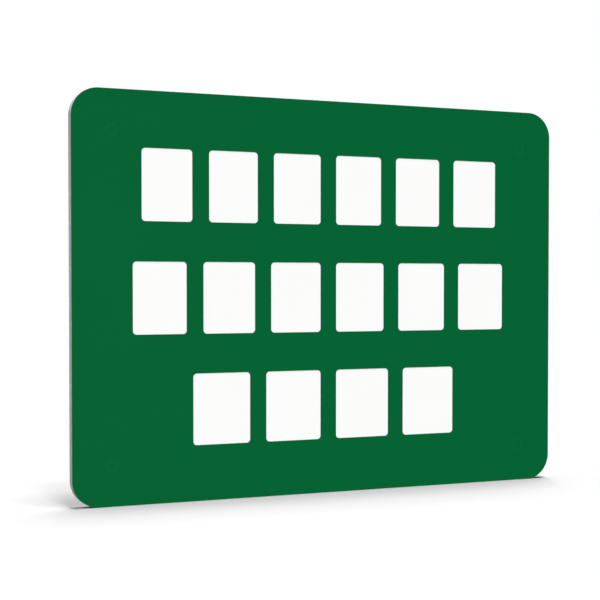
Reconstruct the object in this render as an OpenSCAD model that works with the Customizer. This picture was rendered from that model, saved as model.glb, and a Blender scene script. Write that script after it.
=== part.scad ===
// A small safety sign for a wall or a fence: a rigid white sheet with round
// corners, faced with green self-adhesive film that is trimmed flush with it.
// The message's shapes are cut out of the film, so the white sheet shows there.
// +X runs to the reader's right, +Z is up and the face looks towards -Y.
// The origin is the middle of the back face, which lies on the wall.

/* [Sheet] */
// Width of the sheet
sheet_w = 300; // [270:5:600]
// Height of the sheet
sheet_h = 225; // [210:5:450]
// Thickness of the sheet
sheet_t = 6; // [3:0.5:12]
// Radius of the four corners
corner_r = 15; // [3:1:30]

/* [Face film] */
// Thickness of the green film
film_t = 0.15; // [0.1:0.05:0.5]

/* [Message] */
// Height of every cut-out
cut_h = 39.6; // [24:0.2:48]
// Gap between neighbouring cut-outs in a row
cut_gap = 9.8; // [4:0.2:12]
// Corner radius of every cut-out
cut_r = 2; // [0.5:0.25:4]
// Distance from the middle of one row to the middle of the next
row_pitch = 61.6; // [50:0.2:70]
// Width of each cut-out in the top row
top_cut_w = 28.9; // [20:0.1:30]
// Number of cut-outs in the top row
top_count = 6; // [3:1:6]
// Width of each cut-out in the middle row
middle_cut_w = 30.6; // [20:0.1:32]
// Number of cut-outs in the middle row
middle_count = 6; // [3:1:6]
// Width of each cut-out in the bottom row
bottom_cut_w = 33.6; // [20:0.1:36]
// Number of cut-outs in the bottom row
bottom_count = 4; // [2:1:5]

/* [Hidden] */
$fn = 96;
// The rows from the top down, each as its cut-outs' width and number
rows = [
    [top_cut_w, top_count],
    [middle_cut_w, middle_count],
    [bottom_cut_w, bottom_count]
];

// A flat rectangle about the origin, with true arcs at its corners
module rounded_rectangle(w, h, r) {
    square([w - 2 * r, h], center = true);
    square([w, h - 2 * r], center = true);
    for (x = [-1, 1], y = [-1, 1])
        translate([x * (w / 2 - r), y * (h / 2 - r)]) circle(r = r);
}

// Stands a flat drawing upright and thickens it towards the reader,
// from a distance in front of the back face
module upright(from, thickness) {
    translate([0, -from, 0])
        rotate([90, 0, 0])
            linear_extrude(height = thickness) children();
}

// The outline that the sheet and its film are trimmed to together
module sign_outline() {
    rounded_rectangle(sheet_w, sheet_h, corner_r);
}

// One row of equal cut-outs, centred
module message_row(cut_w, count) {
    for (i = [0 : count - 1])
        translate([(i - (count - 1) / 2) * (cut_w + cut_gap), 0])
            rounded_rectangle(cut_w, cut_h, cut_r);
}

// All the rows, one below the other and centred on the sheet
module message() {
    for (k = [0 : len(rows) - 1])
        translate([0, ((len(rows) - 1) / 2 - k) * row_pitch])
            message_row(rows[k][0], rows[k][1]);
}

// The rigid sheet of foamed plastic, cut to shape by a router
module sheet() {
    color("white") upright(0, sheet_t) sign_outline();
}

// The green film on its face, with the message weeded out of it
module face_film() {
    color([0.03, 0.39, 0.2])
        upright(sheet_t, film_t)
            difference() {
                sign_outline();
                message();
            }
}

sheet();
face_film();
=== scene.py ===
from math import pi, radians

import bpy
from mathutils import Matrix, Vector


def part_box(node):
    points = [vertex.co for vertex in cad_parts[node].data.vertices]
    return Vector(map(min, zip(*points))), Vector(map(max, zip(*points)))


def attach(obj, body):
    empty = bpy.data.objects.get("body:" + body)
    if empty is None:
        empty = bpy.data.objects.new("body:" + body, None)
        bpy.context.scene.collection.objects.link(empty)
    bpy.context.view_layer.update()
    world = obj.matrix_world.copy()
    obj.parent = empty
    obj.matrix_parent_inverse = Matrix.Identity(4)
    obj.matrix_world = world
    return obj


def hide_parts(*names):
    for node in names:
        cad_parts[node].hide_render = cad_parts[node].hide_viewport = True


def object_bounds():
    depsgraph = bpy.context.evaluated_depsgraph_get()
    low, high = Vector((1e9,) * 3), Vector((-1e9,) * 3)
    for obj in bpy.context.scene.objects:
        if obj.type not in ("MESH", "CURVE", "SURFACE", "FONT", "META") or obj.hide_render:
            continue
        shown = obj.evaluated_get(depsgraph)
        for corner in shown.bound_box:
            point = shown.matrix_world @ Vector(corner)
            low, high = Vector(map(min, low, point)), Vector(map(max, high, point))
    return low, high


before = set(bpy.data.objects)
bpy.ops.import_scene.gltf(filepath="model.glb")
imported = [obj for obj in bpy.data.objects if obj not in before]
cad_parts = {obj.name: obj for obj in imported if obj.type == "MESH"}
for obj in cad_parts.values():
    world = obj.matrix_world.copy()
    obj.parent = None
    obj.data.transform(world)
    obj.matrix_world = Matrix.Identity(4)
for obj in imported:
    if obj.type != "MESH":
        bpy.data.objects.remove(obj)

# The size of the part as it was packed.
cad_low, cad_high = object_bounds()

scene = bpy.context.scene
scene.view_settings.view_transform = "Standard"

# The view
# The sign is seen from a little to its left, at about the height of its middle, through a long lens.
# The small shift stands for the wider picture that the frame was cut from.
view_place = (-0.3225, -0.7089, 0.0076)
view_turn = radians(23.44)
view_dip = radians(1.39)
film_width = 36
focal_length = 80.65
view_shift = 0.0279

lens = bpy.data.cameras.new("view")
lens.sensor_width = film_width
lens.lens = focal_length
lens.shift_y = view_shift
camera = bpy.data.objects.new("view", lens)
camera.location = view_place
camera.rotation_euler = (radians(90) - view_dip, 0, -view_turn)
scene.collection.objects.link(camera)
scene.camera = camera


# The sheet
# One rigid sheet of white foamed plastic with a closed, satin skin. A router cuts its round-cornered
# outline, which leaves fine marks across the cut edges, and a scraper eases the sharp back edge.
sheet_low, sheet_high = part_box("sheet")
corner_radius = 0.015
corner_steps = 24
eased_edge = 0.0003
eased_steps = 3


class Flow:
    """A value, colour, vector or shape on its way between nodes, whose maths reads as plain Python."""

    def __init__(self, tree, socket=None):
        self.tree = tree
        self.socket = socket

    def node(self, kind, settings=None, inputs=None, output=None):
        """Adds a node: its settings, then the values or links of its sockets, by their identifiers."""
        made = self.tree.nodes.new(kind)
        for name, value in (settings or {}).items():
            setattr(made, name, value)
        sockets = {socket.identifier: socket for socket in made.inputs}
        for name, given in (inputs or {}).items():
            for value in given if isinstance(given, list) else [given]:
                if isinstance(value, Flow):
                    self.tree.links.new(value.socket, sockets[name])
                else:
                    sockets[name].default_value = value
        leaving = {socket.identifier: socket for socket in made.outputs}
        return Flow(self.tree, leaving[output] if output else made.outputs[0])

    def maths(self, operation, *values):
        """What a Math node makes of these values, taken in their order."""
        inputs = dict(zip(("Value", "Value_001"), values))
        return self.node("ShaderNodeMath", {"operation": operation}, inputs)

    def __add__(self, other):
        return self.maths("ADD", self, other)

    def __sub__(self, other):
        return self.maths("SUBTRACT", self, other)

    def __rsub__(self, other):
        return self.maths("SUBTRACT", other, self)

    def __mul__(self, other):
        return self.maths("MULTIPLY", self, other)

    def __abs__(self):
        return self.maths("ABSOLUTE", self)

    __radd__ = __add__
    __rmul__ = __mul__

    def sine(self):
        return self.maths("SINE", self)

    def root(self):
        return self.maths("SQRT", self)

    def held(self):
        """The value, held between 0 and 1."""
        return self.node("ShaderNodeClamp", {}, {"Value": self})

    def part(self, axis):
        """One of a vector's three parts."""
        return self.node("ShaderNodeSeparateXYZ", {}, {"Vector": self}, axis)

    def stretched(self, x, y, z):
        """These coordinates, each multiplied by its own number."""
        inputs = {"Vector": self, "Vector_001": (x, y, z)}
        return self.node("ShaderNodeVectorMath", {"operation": "MULTIPLY"}, inputs)

    def patches(self, size, detail=2.0):
        """Soft random patches of about that size in metres, from 0 to 1, at these coordinates."""
        inputs = {"Vector": self, "Scale": 1 / size, "Detail": detail}
        return self.node("ShaderNodeTexNoise", {}, inputs)

    def colour(self, low, high):
        """The colour from low to high that this value picks as it goes from 0 to 1."""
        inputs = {"Factor_Float": self, "A_Color": low, "B_Color": high}
        return self.node("ShaderNodeMix", {"data_type": "RGBA"}, inputs, "Result_Color")

    def bump(self, depth):
        """The surface's slope where this value is its height, times a depth in metres."""
        return self.node("ShaderNodeBump", {}, {"Height": self, "Distance": depth})


def new_material(name, specular):
    """A material with that specular level, a flow to start its nodes from and its main shader."""
    made = bpy.data.materials.new(name)
    made.use_nodes = True
    shader = made.node_tree.nodes["Principled BSDF"]
    shader.inputs["Specular IOR Level"].default_value = specular
    return made, Flow(made.node_tree), shader


def feed(shader, name, flow):
    """Links what varies over the surface to one of the main shader's sockets."""
    flow.tree.links.new(flow.socket, shader.inputs[name])


def white_sheet_material():
    """White foamed plastic: a satin skin on its faces; on its cut edges router marks, open pores painted
    darker as painted shade, and a greyer white that is partly painted shade.
    """
    skin_light = (0.92, 0.92, 0.915, 1)
    skin_dark = (0.905, 0.905, 0.90, 1)
    cloud_size = 0.04
    # The cut edges are a greyer white than the skin: partly the cut cells, partly painted shade that
    # stands for the shade on the sheet's sides.
    cut_edge_and_painted_shade = (0.72, 0.71, 0.73, 1)
    edge_start = 0.9
    edge_contrast = 5
    # The open pores are painted darker than the edge: painted shade in the cells.
    painted_pore_shade = (0.50, 0.49, 0.51, 1)
    pore_size = 0.0004
    pore_start = 0.55
    pore_contrast = 8
    painted_pore_shade_strength = 0.6
    router_step = 0.0008
    router_height = 0.3
    grain_size = 0.0012
    grain_height = 0.3
    skin_roughness = 0.38
    cloud_roughness = 0.06
    edge_roughness = 0.63
    specular = 0.2
    relief = 0.00003

    made, start, shader = new_material("white foamed plastic", specular)
    place = start.node("ShaderNodeTexCoord", output="Object")
    facing = abs(start.node("ShaderNodeTexCoord", output="Normal").part("Y"))
    edge = ((edge_start - facing) * edge_contrast).held()
    pores = ((place.patches(pore_size) - pore_start) * pore_contrast).held() * edge
    around = abs(place.part("X")) - abs(place.part("Z"))
    marks = (around * (2 * pi / router_step)).sine() * edge
    cloud = place.patches(cloud_size)
    skin = cloud.colour(skin_dark, skin_light)
    # Here the cut edges turn a greyer white, partly painted shade, and the pores darker, as painted
    # shade.
    feed(shader, "Base Color", (pores * painted_pore_shade_strength).colour(edge.colour(skin, cut_edge_and_painted_shade), painted_pore_shade))
    coarser = edge * (edge_roughness - skin_roughness)
    feed(shader, "Roughness", skin_roughness + cloud * cloud_roughness + coarser)
    height = place.patches(grain_size) * grain_height + marks * router_height - pores
    feed(shader, "Normal", height.bump(relief))
    return made


def new_tree(name, lengths, counts):
    """An empty geometry tree, a flow to start from and its inputs: lengths in metres, then counts."""
    group = bpy.data.node_groups.new(name, "GeometryNodeTree")
    for inputs, kind in ((lengths, "NodeSocketFloat"), (counts, "NodeSocketInt")):
        for each in inputs:
            group.interface.new_socket(each, in_out="INPUT", socket_type=kind)
    group.interface.new_socket("Geometry", in_out="OUTPUT", socket_type="NodeSocketGeometry")
    entry = group.nodes.new("NodeGroupInput")
    given = {socket.name: Flow(group, socket) for socket in entry.outputs if socket.name}
    return group, Flow(group), given


def round_rectangle(start, width, height, radius, steps):
    """A flat closed outline about the origin, with that many steps round each corner."""
    inputs = {"Width": width, "Height": height}
    square = start.node("GeometryNodeCurvePrimitiveQuadrilateral", {}, inputs)
    inputs = {"Curve": square, "Radius": radius, "Count": steps}
    return start.node("GeometryNodeFilletCurve", {"mode": "POLY"}, inputs)


def sign_outline(start, given):
    """The round-cornered outline that the sheet and its film are trimmed to together."""
    corner = (given["Corner Radius"], given["Corner Steps"])
    return round_rectangle(start, given["Width"], given["Height"], *corner)


def cut_slab(start, drawing, fill, given, material):
    """Ends a tree: the drawing is filled, thickened to a closed slab towards the reader and stood up."""
    weld = 0.000001
    face = start.node("GeometryNodeFillCurve", {"mode": fill}, {"Curve": drawing})
    inputs = {"Mesh": face, "Offset Scale": given["Thickness"], "Individual": False}
    front = start.node("GeometryNodeExtrudeMesh", {}, inputs)
    rear = start.node("GeometryNodeFlipFaces", {}, {"Mesh": face})
    slab = start.node("GeometryNodeJoinGeometry", {}, {"Geometry": [front, rear]})
    closed = start.node("GeometryNodeMergeByDistance", {}, {"Geometry": slab, "Distance": weld})
    back = start.node("ShaderNodeCombineXYZ", {}, {"Y": given["Back"]})
    inputs = {"Geometry": closed, "Rotation": (radians(90), 0, 0), "Translation": back}
    upright = start.node("GeometryNodeTransform", {}, inputs)
    plain = start.node("GeometryNodeRealizeInstances", {}, {"Geometry": upright})
    painted = start.node("GeometryNodeSetMaterial", {}, {"Geometry": plain, "Material": material})
    start.tree.links.new(painted.socket, start.tree.nodes.new("NodeGroupOutput").inputs["Geometry"])


def cut_piece(name, group, sizes):
    """The piece that a tree makes from those sizes, as a plain mesh with its sharp edges marked."""
    sharp_angle = radians(30)
    piece = bpy.data.objects.new(name, bpy.data.meshes.new(name))
    scene.collection.objects.link(piece)
    cutter = piece.modifiers.new("cutter", "NODES")
    cutter.node_group = group
    for socket in group.interface.items_tree:
        if socket.in_out == "INPUT":
            cutter[socket.identifier] = sizes[socket.name]
    made = piece.evaluated_get(bpy.context.evaluated_depsgraph_get())
    piece.data = bpy.data.meshes.new_from_object(made)
    # The filled outline leaves an empty material slot ahead of the one that is used.
    piece.data.materials.pop(index=0)
    piece.modifiers.remove(cutter)
    piece.data.shade_smooth()
    piece.data.set_sharp_from_angle(angle=sharp_angle)
    return piece


sheet_tree, start, given = new_tree(
    "sheet cut by a router", ["Width", "Height", "Corner Radius", "Back", "Thickness"], ["Corner Steps"]
)
cut_slab(start, sign_outline(start, given), "NGONS", given, white_sheet_material())
sheet_sizes = {
    "Width": sheet_high.x - sheet_low.x,
    "Height": sheet_high.z - sheet_low.z,
    "Corner Radius": corner_radius,
    "Corner Steps": corner_steps,
    "Back": sheet_high.y,
    "Thickness": sheet_high.y - sheet_low.y,
}
sheet = cut_piece("white_sheet", sheet_tree, sheet_sizes)

# Only the edges of the back face are eased: those with both ends in its plane.
eased = sheet.data.attributes.new("bevel_weight_edge", "FLOAT", "EDGE")
for edge in sheet.data.edges:
    ends = [sheet.data.vertices[corner].co.y for corner in edge.vertices]
    if min(ends) > sheet_high.y - eased_edge:
        eased.data[edge.index].value = 1
scraper = sheet.modifiers.new("scraper", "BEVEL")
scraper.limit_method = "WEIGHT"
scraper.width = eased_edge
scraper.segments = eased_steps

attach(sheet, "root")
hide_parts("sheet")


# The face film
# One green self-adhesive film, laid on the sheet with a squeegee and trimmed flush with it by the
# router. A plotter cuts the message's shapes in it, and they are lifted out, so that the white sheet
# shows there. Four faint printed rings mark where a fitter may drill.
film_low, film_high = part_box("face_film")
cut_height = 0.0396
cut_gap = 0.0098
cut_radius = 0.002
cut_steps = 8
row_pitch = 0.0616
row_cuts = {"Top": (0.0289, 6), "Middle": (0.0306, 6), "Bottom": (0.0336, 4)}


def green_film_material():
    """Satin green film: faint orange peel, long faint squeegee strokes and the four drilling guides."""
    green_light = (0.0010, 0.1165, 0.032, 1)
    green_dark = (0.0008, 0.1085, 0.029, 1)
    guide_green = (0.010, 0.150, 0.055, 1)
    guide_inset = 0.022
    guide_radius = 0.003
    guide_line = 0.00025
    guide_strength = 0.25
    stroke_width = 0.003
    stroke_stretch = 0.08
    stroke_detail = 3.0
    stroke_share = 0.3
    stroke_roughness = 0.08
    cloud_size = 0.05
    cloud_roughness = 0.05
    peel_size = 0.0014
    peel_height = 0.6
    fine_peel_size = 0.0004
    fine_peel_height = 0.2
    roughness = 0.46
    specular = 0.02
    relief = 0.00003

    made, start, shader = new_material("green film", specular)
    place = start.node("ShaderNodeTexCoord", output="Object")
    from_x = abs(place.part("X")) - (film_high.x - guide_inset)
    from_z = abs(place.part("Z")) - (film_high.z - guide_inset)
    away = (from_x * from_x + from_z * from_z).root()
    # A ring is full up to its line's width on either side, and fades out over as much again.
    ring = (2 - abs(away - guide_radius) * (1 / guide_line)).held()
    strokes = place.stretched(stroke_stretch, 1, 1).patches(stroke_width, stroke_detail)
    cloud = place.patches(cloud_size)
    shade = cloud * (1 - stroke_share) + strokes * stroke_share
    green = shade.colour(green_dark, green_light)
    feed(shader, "Base Color", (ring * guide_strength).colour(green, guide_green))
    feed(shader, "Roughness", roughness + cloud * cloud_roughness + strokes * stroke_roughness)
    peel = place.patches(peel_size) * peel_height + place.patches(fine_peel_size) * fine_peel_height
    feed(shader, "Normal", peel.bump(relief))
    return made


film_tree, start, given = new_tree(
    "film cut by a plotter",
    ["Width", "Height", "Corner Radius", "Back", "Thickness"]
    + ["Cut Height", "Cut Gap", "Cut Radius", "Row Pitch"]
    + [f"{row} Cut Width" for row in row_cuts],
    ["Corner Steps", "Cut Steps"] + [f"{row} Count" for row in row_cuts],
)
drawn = [sign_outline(start, given)]
middle_row = (len(row_cuts) - 1) / 2
for below, row in enumerate(row_cuts):
    width = given[f"{row} Cut Width"]
    count = given[f"{row} Count"]
    cut = round_rectangle(start, width, given["Cut Height"], given["Cut Radius"], given["Cut Steps"])
    step = width + given["Cut Gap"]
    first = {"X": (1 - count) * step * 0.5, "Y": given["Row Pitch"] * (middle_row - below)}
    inputs = {
        "Count": count,
        "Start Location": start.node("ShaderNodeCombineXYZ", {}, first),
        "Offset": start.node("ShaderNodeCombineXYZ", {}, {"X": step}),
    }
    places = start.node("GeometryNodeMeshLine", {}, inputs)
    cuts = start.node("GeometryNodeInstanceOnPoints", {}, {"Points": places, "Instance": cut})
    drawn.append(start.node("GeometryNodeRealizeInstances", {}, {"Geometry": cuts}))
drawing = start.node("GeometryNodeJoinGeometry", {}, {"Geometry": drawn})
cut_slab(start, drawing, "TRIANGLES", given, green_film_material())

film_sizes = {
    "Width": film_high.x - film_low.x,
    "Height": film_high.z - film_low.z,
    "Corner Radius": corner_radius,
    "Corner Steps": corner_steps,
    "Back": film_high.y,
    "Thickness": film_high.y - film_low.y,
    "Cut Height": cut_height,
    "Cut Gap": cut_gap,
    "Cut Radius": cut_radius,
    "Cut Steps": cut_steps,
    "Row Pitch": row_pitch,
}
for row, (width, count) in row_cuts.items():
    film_sizes[f"{row} Cut Width"] = width
    film_sizes[f"{row} Count"] = count
film = cut_piece("green_film", film_tree, film_sizes)

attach(film, "root")
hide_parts("face_film")


# The room
# The sign stands on its lower edge on a plain white floor that meets a white background. Soft lights
# hang over it and high to its left, and low ones face its front, back and right end. No surface passes
# light on to another, so the green film leaves no tint in the floor's shadow.
floor_reach = 12
floor_white = (0.88, 0.88, 0.88, 1)
sky_glow = 0.02
scene.cycles.diffuse_bounces = 0

floor_mesh = bpy.data.meshes.new("floor")
ways = ((-1, -1), (1, -1), (1, 1), (-1, 1))
corners = [(x * floor_reach, y * floor_reach, cad_low.z) for x, y in ways]
floor_mesh.from_pydata(corners, [], [(0, 1, 2, 3)])
floor_material, _, shader = new_material("white floor", 0)
shader.inputs["Base Color"].default_value = floor_white
shader.inputs["Roughness"].default_value = 1
floor_mesh.materials.append(floor_material)
floor = bpy.data.objects.new("floor", floor_mesh)
scene.collection.objects.link(floor)

world = bpy.data.worlds.new("white room")
world.use_nodes = True
scene.world = world
background = world.node_tree.nodes["Background"]
background.inputs["Color"].default_value = (1, 1, 1, 1)
start = Flow(world.node_tree)
kinds = ("Is Camera Ray", "Is Glossy Ray", "Is Transmission Ray")
straight, gloss, glass = [start.node("ShaderNodeLightPath", output=kind) for kind in kinds]
seen = (straight + gloss + glass).held()
feed(background, "Strength", seen * (1 - sky_glow) + sky_glow)

# Each lamp's brightness, where 1 makes a white surface that faces it white, and in degrees its
# softness, how far its place leans down from straight overhead, and the way it leans: 0 is the front,
# 90 the right.
lamps = {
    "overhead front right": (0.38, 13, 11, 25),
    "overhead rear right": (0.26, 20, 13, 134),
    "overhead rear": (0.19, 11, 5, 162),
    "high front": (0.21, 9, 23, 0),
    "high left": (0.15, 36, 40, 268),
    "low front": (0.92, 2, 89, 345),
    "low rear": (0.70, 2, 89, 180),
    "low right": (0.25, 2, 89, 90),
}
for name, (brightness, softness, lean, way) in lamps.items():
    sun = bpy.data.lights.new(name, "SUN")
    sun.energy = brightness * pi
    sun.angle = radians(softness)
    lamp = bpy.data.objects.new(name, sun)
    lamp.rotation_euler = (radians(lean), 0, radians(way))
    scene.collection.objects.link(lamp)
